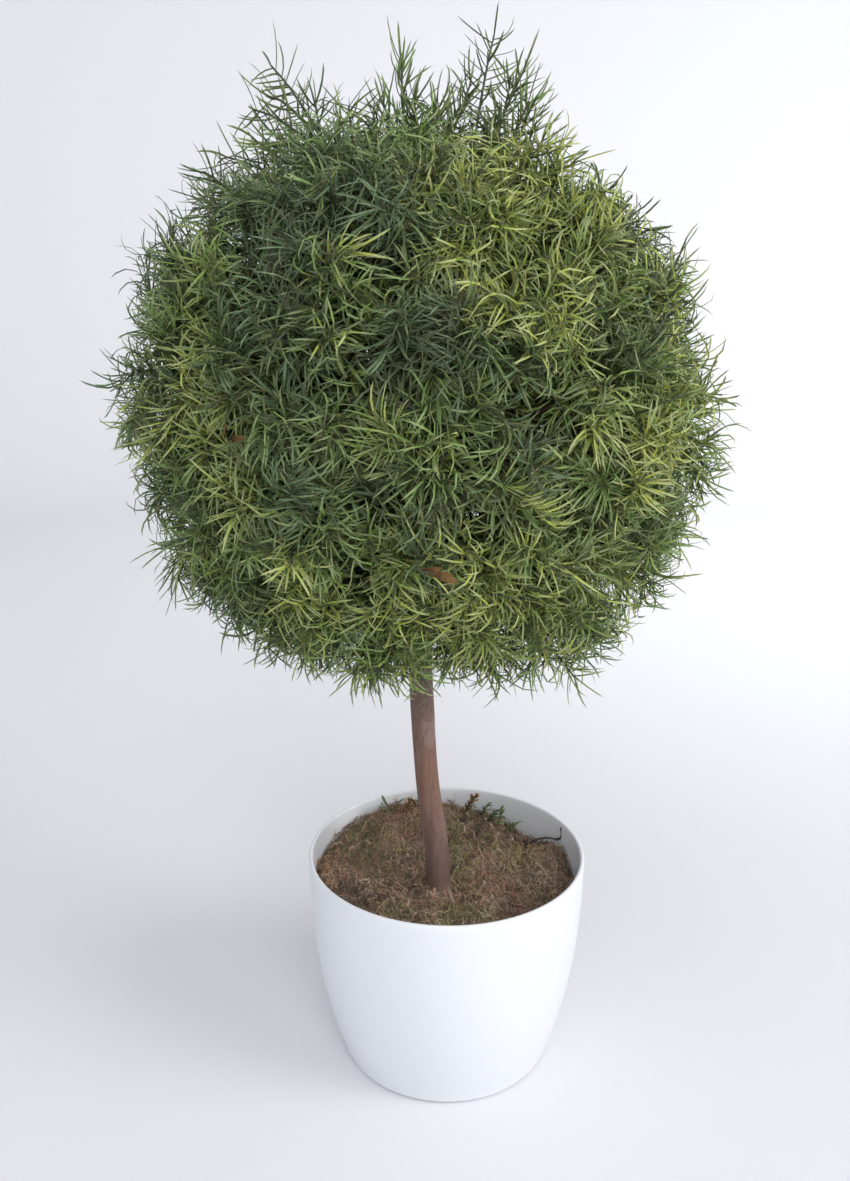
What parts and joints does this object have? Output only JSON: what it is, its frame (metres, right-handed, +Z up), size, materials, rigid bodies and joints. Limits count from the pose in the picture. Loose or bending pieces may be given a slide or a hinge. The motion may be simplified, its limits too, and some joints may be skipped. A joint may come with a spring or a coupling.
{
  "type": "artificial ball topiary in a pot",
  "caption": "Artificial lollipop topiary: an uneven ball of needle foliage with open spires on top, on a slim brown stem set in moss in a round white pot.",
  "frame": {"origin": "centre of the pot's flat underside", "axes": "+Z up from the underside towards the top of the foliage, -Y towards the front of the plant, +X to its right as seen from the front"},
  "size_m": [0.2708, 0.2678, 0.501],
  "materials": {
    "pot": "satin",
    "fill": "matte",
    "moss": "matte",
    "bark": "matte",
    "foliage": "satin",
    "foliage_spire": "satin"
  },
  "bodies": {
    "root": {"pot": "pot", "pot_fill": "fill", "moss": "moss", "stem": "bark", "foliage_low_front": "foliage", "foliage_low_right": "foliage", "foliage_low_back_right": "foliage", "foliage_low_back_left": "foliage", "foliage_low_left": "foliage", "foliage_middle_front_right": "foliage", "foliage_middle_right": "foliage", "foliage_middle_back_right": "foliage", "foliage_middle_back": "foliage", "foliage_middle_back_left": "foliage", "foliage_middle_left": "foliage", "foliage_middle_front_left": "foliage", "foliage_high_front_right": "foliage", "foliage_high_right": "foliage", "foliage_high_back": "foliage", "foliage_high_left": "foliage", "foliage_high_front_left": "foliage", "foliage_crown": "foliage", "spire_left": "foliage_spire", "spire_middle": "foliage_spire", "spire_right": "foliage_spire"}
  },
  "joints": []
}
